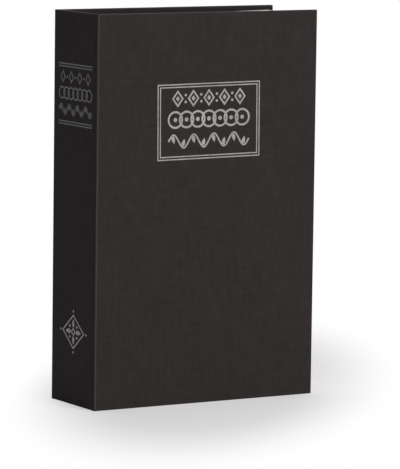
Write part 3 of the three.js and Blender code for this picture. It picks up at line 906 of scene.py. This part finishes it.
def rosette(height):  # four leaves and four small lozenges round a ring, in a lozenge
    shapes = [[lozenge(13.8, 10.8), lozenge(12.3, 9.6)[::-1]], ring(2.2, 1.2, 24)]
    for a, b in ((1, 0), (0, 1), (-1, 0), (0, -1)):
        shapes.append([leafShape(7.2 if a else 5.4, 2.9, degrees(atan2(b, a)), (2.5 * a, 2.5 * b))])
        shapes.append([circle(0.8, (a * 15.8, b * 12.6), 16)])
    shapes += [[lozenge(1.3, 1.1, (a, b))] for a in (4.4, -4.4) for b in (3.3, -3.3)]
    whole = stamped("rosette", shapes, footFoil)
    whole.data.transform(Matrix.Translation((0, 0, height * mm)))
    return whole


def spineFoilPiece():
    # drawn like the front's, facing -Y round X = 0, then turned to face -X
    half, line = foil["spineRule"]
    pieces = ornaments(spineRows, spineFoil) + [rosette(foil["rosette"])]
    for upper in foil["spineRules"]:
        bar = stamped("rule", [[[(-half, -line), (half, -line), (half, line), (-half, line)]]], spineFoil)
        pieces.append(rowOf("rulePair", bar, None, 2, (0, 0, upper), (0, 0, -foil["inset"]), spineFoil))
    whole = soften(joined("spineFoil", pieces))
    turn = Matrix.Rotation(radians(-90), 4, "Z")
    whole.data.transform(Matrix.Translation(((nodeBox("spine_cloth")[0][0] - foilPlane) * mm, 0, 0)) @ turn)
    carry(whole, [(coverSheet["round"] - v.co.y / mm, v.co.z / mm) for v in whole.data.vertices])
    place(whole, "book_case", "book_cloth")


frontFoil()
spineFoilPiece()
print("foil ready")


# The page block: leaves with the middle cut out, glued to the back cover. A leaf is drawn
# 0.4 thick instead of 0.1, so that the leaves show.

leaves = {
    "pitch": 0.4,
    "thickness": 0.37,
    "uneven": 0.07,  # the most that a leaf stands out of line
    "first": 0.02,  # the first leaf, in from the block's face
    "seed": 11,
}


# Book paper, cut edges: an off-white that shows each leaf as a thin line.
def paperFinish():
    material, put = newFinish("bookPaperGuillotined", "#efede9")
    place = inMillimetres(put)
    depth = put("SeparateXYZ", {}, [place]).outputs[1]
    leaf = put("Math", "FLOOR", [put("Math", "DIVIDE", [depth, leaves["pitch"]])])
    shade = put("TexWhiteNoise", {"noise_dimensions": "1D"}, [leaf]).outputs["Value"]
    colour = put("Mix", colours, [shade, "#e4e2de", "#f6f5f2"])
    aged = put("MapRange", {}, [cloudsOf(put, place, (26, 26, 26)), 0.45, 0.8, 0.0, 0.5])
    colour = put("Mix", colours, [aged, colour, "#ded8ca"])
    cutMarks = cloudsOf(put, place, (14, 0.12, 14), 2.0)
    return endFinish(material, cutMarks, (0.06, 0.5), colour, 0.9, 0.2)


def pageBlock():
    bookPaper = paperFinish()
    x, y, tail = nodeBox("page_block_tail")
    inX, _, inZ = nodeBox("page_block_fore_edge")
    headPoints = [v.co for v in nodes["page_block_head"].data.vertices]
    spineTop, foreTop = (max(p.z for p in headPoints if p.x * side > 0) / mm for side in (-1, 1))
    slack = leaves["uneven"]
    low, high = x[0], x[1] - slack
    outline = [(low, tail[0] + slack), (high, tail[0] + slack), (high, foreTop),
               (low, spineTop), (low, inZ[1]), (inX[0], inZ[1]), (inX[0], inZ[0]), (low, inZ[0])]
    size = len(outline)
    points = [(a, depth, b) for depth in (0, leaves["thickness"]) for a, b in outline]
    faces = loopFaces(2, size) + [list(range(size)), list(range(size, 2 * size))]
    leaf = mend(newObject("leaf", points, faces, bookPaper))
    pitch = leaves["pitch"]
    block = rowOf("pageBlock", leaf, None, int((y[1] - y[0]) / pitch), (0, y[0] + leaves["first"], 0),
                  (0, pitch, 0), bookPaper, (slack, 0, slack), leaves["seed"])
    for point in block.data.vertices:  # the leaves are glued to the spine's lining in one plane
        point.co.x = max(point.co.x, low * mm)
    place(block, "book_case", "page_paper", "page_block_head", "page_block_tail",
          "page_block_fore_edge")


pageBlock()
print("pages ready")


# The steel box: a folded tray, and the lid with its lip.

steel = {"bend": 1.3, "bendSteps": 4, "edge": 0.3}


def steelBox():
    piece = nodeCopy("steel_box", "steelBox", powderCoat)
    box = [[value * mm for value in ends] for ends in nodeBox("steel_box")]

    def near(a, b):
        return abs(a - b) < 1e-6

    def onOutside(vertex):
        walls = sum(near(vertex.co[i], end) for i in (0, 2) for end in box[i])
        return walls > 1 or walls == 1 and near(vertex.co.y, box[1][1])

    def bent(edge):  # the tray's outer bends, without its rim
        sharp = len(edge.link_faces) == 2 and edge.calc_face_angle(0) > radians(30)
        rim = all(near(v.co.y, box[1][0]) for v in edge.verts)
        return sharp and not rim and all(onOutside(v) for v in edge.verts)

    reshape(piece, lambda shape: bmesh.ops.bevel(
        shape, geom=[edge for edge in shape.edges if bent(edge)], offset=steel["bend"] * mm,
        segments=steel["bendSteps"], profile=0.5, affect="EDGES", clamp_overlap=True))
    place(soften(piece, steel["edge"]), "book_case", "black_enamel", "steel_box")


steelBox()
place(soften(nodeCopy("lid", "lidPlate", powderCoat), steel["edge"], 3), "box_lid", "black_enamel", "lid")


# The hinge: two leaves of one sheet each, with knuckles rolled round the pin.

pin = nodeBox("hinge_pin")
hingeAxis = (sum(pin[0]) / 2, sum(pin[1]) / 2)
rolled = {
    "sheet": 0.8, "bore": 1.15, "knuckles": 13, "gap": 0.4, "roll": 285, "steps": 22, "edge": 0.1,
    "lidNeck": (2.5, 1.2),  # where the slots end and where the roll starts, from the pin's middle
    "boxNeck": (2.6, 1.6),
    "boxDrift": 0.15,  # the box's leaf leans out to meet its roll
}


def hingeLeaf(name, straight, startAngle, firstKnuckle, body, node):
    low, high = nodeBox("hinge_box_leaf")[2]
    pitch = (high - low + rolled["gap"]) / rolled["knuckles"]
    stations = [low + i * pitch + end for i in range(rolled["knuckles"])
                for end in (0, pitch - rolled["gap"])]
    roll = circle(rolled["bore"] + rolled["sheet"] / 2, hingeAxis, rolled["steps"], startAngle,
                  startAngle - rolled["roll"])

    def kept(i, k):
        return i < len(straight) - 2 or k % 2 == 0 and k // 2 % 2 == firstKnuckle

    piece = foldedStrip(name, straight + roll, rolled["sheet"], stations, zincSteel, kept)
    place(soften(piece, rolled["edge"], 1, 50), body, "zinc_steel", node)


lidLeafBox, boxLeafBox = nodeBox("hinge_lid_leaf"), nodeBox("hinge_box_leaf")
lidLeafY = lidLeafBox[1][0] + rolled["sheet"] / 2
boxLeafX = nodeBox("steel_box")[0][0] - rolled["sheet"] / 2
lidNeck, boxNeck = ([hingeAxis[i] + away for away in rolled[name]]
                    for i, name in enumerate(("lidNeck", "boxNeck")))
hingeLeaf("lidHingeLeaf", [(across, lidLeafY) for across in (lidLeafBox[0][1], *lidNeck)],
          -90, 1, "box_lid", "hinge_lid_leaf")
hingeLeaf("boxHingeLeaf", [(boxLeafX, boxLeafBox[1][1]), (boxLeafX, boxNeck[0]),
                           (boxLeafX - rolled["boxDrift"], boxNeck[1])], 0, 0, "book_case", "hinge_box_leaf")

r = (pin[0][1] - pin[0][0]) / 2
domed = [(0, 0), (r * 0.6, 0.02), (r * 0.9, 0.18), (r, 0.5)]  # the pin's end: radius and depth
pinProfile = [(a, pin[2][0] + b) for a, b in domed] + [(a, pin[2][1] - b) for a, b in domed[::-1]]
hingePin = turnedPiece("hingePin", pinProfile, zincSteel, hingeAxis, "z", 32)
place(soften(hingePin), "book_case", "zinc_steel", "hinge_pin")

# spot welds on the lid's leaf: a shallow ring left by the electrode
welds = {"count": 6, "fromEnd": 12, "fromHinge": 9.2}
weldProfile = [(0, 0.02), (1.0, 0.01), (1.3, -0.07), (1.9, -0.056), (2.2, 0.02), (2.2, 0.05), (0, 0.05)]
weld = turnedPiece("weld", weldProfile, zincSteel, (0, 0), "y", 24)
first, last = lidLeafBox[2][0] + welds["fromEnd"], lidLeafBox[2][1] - welds["fromEnd"]
weldRow = rowOf("spotWelds", weld, None, welds["count"],
                (hingeAxis[0] + welds["fromHinge"], lidLeafBox[1][0], first),
                (0, 0, (last - first) / (welds["count"] - 1)), zincSteel)
place(soften(weldRow), "box_lid", "zinc_steel")
print("box and hinge ready")


# The strike: an angle welded to the box's wall, whose tongue the cam turns behind.

strike = {"sheet": 1.6, "bend": 1.1, "bendSteps": 6, "edge": 0.2}


def strikeBracket():
    x, y, z = nodeBox("strike_bracket")
    bend = strike["bend"]
    wallX, tongueY = x[1] - strike["sheet"] / 2, y[1] - strike["sheet"] / 2
    corner = circle(bend, (wallX - bend, tongueY - bend), strike["bendSteps"], 0, 90)
    path = [(wallX, y[0]), *corner, (x[0], tongueY)]
    piece = foldedStrip("strikeBracket", path, strike["sheet"], z, zincSteel)
    place(soften(piece, strike["edge"], 2, 50), "book_case", "zinc_steel", "strike_bracket")


strikeBracket()


# The cam lock. Depths run along Y, from the lid's outer face into the box.

lock = {
    "faceRadius": 9, "faceThickness": 1.2, "chamfer": 0.5, "barrel": 8, "flats": 14, "length": 17,
    "bore": 5.3, "counterbore": 6.5, "shoulder": 0.3, "threadDepth": 0.45, "threadPitch": 1.0,
    "segments": 96, "rowsPerTurn": 6, "nutBore": 8.3,
    "plugHead": 6.2, "plugBody": 5.0, "keySlot": (1.05, 3.8, 14), "screwHole": (1.9, 4.5),
    "camHub": 7.0, "camHalf": 5.0, "camReach": 16.0, "camCorner": 2.0, "camHole": 3.3,
    "nutChamfer": (0.93, 0.75),  # the share of the nut's face that stays flat, and the drop at its corners
    "keyGuide": ((-1.6, -0.5), (0.7, 1.8)),  # from the axis, across and up
    "waferSlot": (2.1, 7, 0.15),  # half its width, half its height and its play
}
lockFace = nodeBox("lock_housing")[1][0] + lock["faceThickness"]
lockX, lockZ = lockAxis


def around(x, y, z, name="cutter"):  # a brick with half its width and height round the lock's axis
    return brick(name, (lockX - x, lockX + x), y, (lockZ - z, lockZ + z))


def lockHousing():
    front, chamfer, radius = -lock["faceThickness"], lock["chamfer"], lock["faceRadius"]
    barrel, root, length = lock["barrel"], lock["barrel"] - lock["threadDepth"], lock["length"]
    wide, bore, shoulder = lock["counterbore"], lock["bore"], lock["shoulder"]
    rows = [(wide, front + 0.15), (wide + 0.15, front), (radius - chamfer - 0.6, front),
            (radius - chamfer, front + 0.06), (radius - chamfer * 0.45, front + chamfer * 0.3),
            (radius - chamfer * 0.1, front + chamfer * 0.75), (radius, front + chamfer + 0.2),
            (radius, 0), (root, 0)]
    count = int(length / lock["threadPitch"] * lock["rowsPerTurn"])
    rows += [(barrel, length * i / count) for i in range(1, count)]
    rows += [(root - 0.2, length), (bore, length), (bore, shoulder), (wide, shoulder)]
    points, segments = [], lock["segments"]
    for reach, depth in rows:
        for i in range(segments):
            angle = 2 * pi * i / segments
            here = reach
            if reach == barrel and 0.8 < depth < length - 0.2:
                phase = (depth / lock["threadPitch"] + i / segments) % 1
                here -= lock["threadDepth"] * abs(2 * phase - 1)
            if depth > 0 and reach > wide:
                here = min(here, lock["flats"] / 2 / max(1e-6, abs(sin(angle))))
            points.append((lockX + here * cos(angle), lockFace + depth, lockZ + here * sin(angle)))
    faces = loopFaces(len(rows), segments, True)
    piece = mend(newObject("lockHousing", points, faces, turnedNickel), merge=0.0005)
    place(soften(piece), "box_lid", "bright_nickel", "lock_housing")


def washer(name, node, body, chamfer, segments, near, far):  # near and far: the bore's radii and depths
    x, y, _ = nodeBox(node)
    radius = (x[1] - x[0]) / 2
    rim = [(radius - chamfer, 0), (radius, chamfer)]
    profile = [(a, y[0] + b) for a, b in near + rim] + [(a, y[1] - b) for a, b in rim[::-1] + far]
    piece = turnedPiece(name, profile, zincSteel, lockAxis, segments=segments)
    place(soften(piece), body, "zinc_steel", node)


def lockNut():
    x, y, _ = nodeBox("lock_nut")
    corner = (x[1] - x[0]) / 2 / cos(pi / 6)
    outlines = [circle(corner, count=6, start=30, end=390), circle(lock["nutBore"])[::-1]]
    hexagon = plate("lockNut", outlines, y, zincSteel, lockAxis)
    share, drop = lock["nutChamfer"]  # turned on both faces
    flat, wide = corner * share, corner + 0.2
    profile = [(0, y[0]), (flat, y[0]), (wide, y[0] + drop), (wide, y[1] - drop), (flat, y[1]), (0, y[1])]
    blank = turnedPiece("nutBlank", profile, zincSteel, lockAxis, segments=96)
    piece = soften(combine(hexagon, [blank], "INTERSECT"), 0.12, 2, 35)
    place(piece, "box_lid", "zinc_steel", "lock_nut")


def lockPlug():
    front, back = nodeBox("lock_plug")[1]
    head, body, end = lock["plugHead"], lock["plugBody"], lockFace + lock["length"]
    profile = [(0, front), (head - 0.5, front), (head - 0.12, front + 0.1), (head, front + 0.3),
               (head, front + 1), (body, front + 1), (body, end), (0, end)]
    piece = turnedPiece("lockPlug", profile, turnedBrass, lockAxis)
    combine(piece, [around(3, (end - 0.5, back), 3)], "UNION")
    half, height, depth = lock["keySlot"]
    slot = (front - 1, front + depth)
    across, up = lock["keyGuide"]
    guide = brick("keyGuide", [lockX + a for a in across], slot, [lockZ + b for b in up])
    combine(piece, [around(half, slot, height), guide])
    cutters = []
    wide, tall, play = lock["waferSlot"]
    for number in range(1, 6):
        near, far = nodeBox("lock_wafer_%d" % number)[1]
        cutters.append(around(wide, (near - play, far + play), tall))
        paint(nodes["lock_wafer_%d" % number].data, turnedBrass)
    radius, deep = lock["screwHole"]
    profile = [(0, back - deep), (radius, back - deep), (radius, back + 1), (0, back + 1)]
    cutters.append(turnedPiece("screwHole", profile, turnedBrass, lockAxis, segments=24))
    piece = soften(combine(piece, cutters), 0.08, 1, 40)
    place(piece, "lock_cylinder", "lock_brass", "lock_plug")


def lockCam():
    hub, half, reach, corner = (lock[name] for name in ("camHub", "camHalf", "camReach", "camCorner"))
    side = degrees(asin(half / hub))
    outline = circle(hub, count=48, start=-90 + side, end=270 - side)
    outline += circle(corner, (-half + corner, -reach + corner), 8, 180, 270)
    outline += circle(corner, (half - corner, -reach + corner), 8, 270, 360)
    a = lock["camHole"]
    outlines = [outline, [(-a, -a), (-a, a), (a, a), (a, -a)]]
    piece = plate("lockCam", outlines, nodeBox("lock_cam")[1], zincSteel, lockAxis, edge=0.2)
    place(soften(piece), "lock_cylinder", "zinc_steel", "lock_cam")


def camScrew():
    x, y, _ = nodeBox("cam_screw")
    radius, seat, top = (x[1] - x[0]) / 2, nodeBox("cam_washer")[1][1], y[1]
    profile = [(0, y[0]), (1.2, y[0]), (1.6, y[0] + 0.4), (1.6, seat), (radius - 0.1, seat),
               (radius, seat + 0.1), (radius, top - 0.8), (radius - 0.25, top - 0.35),
               (radius - 0.8, top - 0.08), (radius - 1.6, top), (0, top)]
    piece = turnedPiece("camScrew", profile, zincSteel, lockAxis, segments=48)
    combine(piece, [around(5, (top - 0.8, top + 1), 0.45)])
    place(soften(piece, 0.06, 1, 40), "lock_cylinder", "zinc_steel", "cam_screw")


lockHousing()
washer("lockWasher", "lock_washer", "box_lid", 0.12, 64, [(8.3, 0.1), (8.4, 0)], [(8.4, 0), (8.3, 0.1)])
lockNut()
lockPlug()
lockCam()
washer("camWasher", "cam_washer", "lock_cylinder", 0.1, 48, [(1.9, 0)], [(2.0, 0), (1.9, 0.1)])
camScrew()
print("lock ready")


# The keys: stamped flat, the bow round with a hole, a milled groove along each side of the blade.

keys = {
    "bow": 10.5, "hole": 3.0, "holeInset": 3.3, "blade": 25, "width": 7.2, "shoulder": 6,
    "pitch": 2.2, "notch": 1.2, "notchFlat": 0.25, "shares": [0.5, -0.6, 0.2, -0.2, 0.7], "edge": 0.18,
    "turns": {"keyOne": 0.12, "keyTwo": -0.2},  # radians
    "groove": (-1.6, 1.2, 0.4, 1.5),  # its lower side, width, depth and start past the bow
    "ring": (8.2, 8.9, 0.2),  # the ring round the bow: its radii and depth
}


def keyPiece(name, node, turn):
    x, y, z = nodeBox(node)
    bow, half, pitch, flat = keys["bow"], keys["width"] / 2, keys["pitch"], keys["notchFlat"]
    neck = degrees(asin(half / bow))
    end = bow + keys["blade"]
    outline = circle(bow, count=60, start=neck, end=360 - neck)
    outline += [(end - half, -half), (end - 0.3, -0.3), (end - 0.3, 0.3), (end - half, half)]
    for i, share in reversed(list(enumerate(keys["shares"]))):
        at = bow + keys["shoulder"] + i * pitch
        deep = half - keys["notch"] * (1 + share) / 2
        outline += [(at + pitch / 2, half), (at + flat, deep), (at - flat, deep), (at - pitch / 2, half)]
    hole = circle(keys["hole"], (-keys["holeInset"], 0), 40)[::-1]
    piece = plate(name, [outline, hole], z, nickelSteel, edge=keys["edge"], lying=True)
    (side, width, depth, past), (inner, outer, shallow) = keys["groove"], keys["ring"]
    cutters = []
    for face, way in ((z[0], 1), (z[1], -1)):  # both faces, and the way into the key
        cutters.append(brick("groove", (bow + past, end + 2), (side, side + width),
                             sorted((face - way, face + way * depth))))
        low, high = sorted((face - way, face + way * shallow))
        profile = [(inner, low), (outer, low), (outer, high), (inner, high)]
        cutters.append(turnedPiece("ringGroove", profile, nickelSteel, (0, 0), "z", 72))
    combine(piece, cutters)
    centre = Vector((x[0] + bow, y[0] + bow if turn > 0 else y[1] - bow, 0))
    piece.data.transform(Matrix.Translation(centre * mm) @ Matrix.Rotation(turn, 4, "Z"))
    place(soften(piece), "book_case", "bright_nickel", node)


for (name, turn), node in zip(keys["turns"].items(), ("key_1", "key_2")):
    keyPiece(name, node, turn)
print("keys ready")


# floor and light

studio = {
    "floor": "#f5f4f0",
    "floorHalf": 6000,
    "sky": 0.262,  # how bright the surroundings are to dull surfaces
    "skyTint": "#f3f0ff",
    "keyBox": {"azimuth": 14, "height": 30, "away": 3.0, "size": 1.6, "power": 64.5},
    "topBox": {"azimuth": 135, "height": 60, "away": 2.4, "size": 1.6, "power": 8.5},
    # the floor glows plain white to rays that see it directly, fading in over these metres of a long ellipse
    # round the book, with the painted glow share everywhere: painted light that lightens the book's shadow
    # and sets where it ends
    "shade": {"middle": (0.039, 0.033, 0), "turn": 0.915, "shape": (1, 0.374, 1), "reach": (0.153, 0.329),
              "paintedGlow": 0.311},
}


def seenDirectly(put):
    ray = put("LightPath").outputs
    seen = put("Math", "MAXIMUM", [ray["Is Camera Ray"], ray["Is Glossy Ray"]])
    return put("Math", "MAXIMUM", [seen, ray["Is Transmission Ray"]])


def makeWorld():
    world = bpy.data.worlds.new("studio")
    bpy.context.scene.world = world
    world.use_nodes = True
    world.node_tree.nodes.clear()
    put = partial(add, world.node_tree)
    white = put("Background", {}, {"Color": "#ffffff", "Strength": 1.0})
    dull = put("Background", {}, {"Color": studio["skyTint"], "Strength": studio["sky"]})
    put("OutputWorld", {}, {"Surface": put("MixShader", {}, [seenDirectly(put), dull, white])})


# Studio paper, matt: no gloss at all, so that only the book's soft shadow shows on it.
def makeFloor():
    material, put = newFinish("paperSweepMatt", studio["floor"])
    shade, a = studio["shade"], studio["floorHalf"]
    spot = put("Mapping", {"vector_type": "TEXTURE"}, {
        "Vector": put("TexCoord").outputs["Object"], "Location": shade["middle"],
        "Rotation": (0, 0, shade["turn"]), "Scale": shade["shape"]})
    far = put("VectorMath", "LENGTH", [spot])
    # painted light: a white glow over the floor's real shading, complete past the ellipse
    share = put("MapRange", {"interpolation_type": "SMOOTHSTEP"},
                [far, *shade["reach"], shade["paintedGlow"], 1.0])
    share = put("Math", times, [share, seenDirectly(put)])
    matt = put("BsdfDiffuse", {}, {"Color": studio["floor"]})
    white = put("Emission", {}, {"Color": "#ffffff", "Strength": 1.0})
    put("OutputMaterial", {}, {"Surface": put("MixShader", {}, [share, matt, white])})
    newObject("floor", [(-a, -a, 0), (a, -a, 0), (a, a, 0), (-a, a, 0)], [(0, 1, 2, 3)], material)


def softBox(name):
    box = studio[name]
    data = settle(bpy.data.lights.new(name, "AREA"), size=box["size"], energy=box["power"])
    lamp = settle(shown(name, data), visible_camera=False)
    aimed(lamp, (0, 0, 0.12), (box["azimuth"], "Z"), (90 - box["height"], "X"), back=box["away"])


makeWorld()
makeFloor()
softBox("keyBox")
softBox("topBox")
print("studio ready")
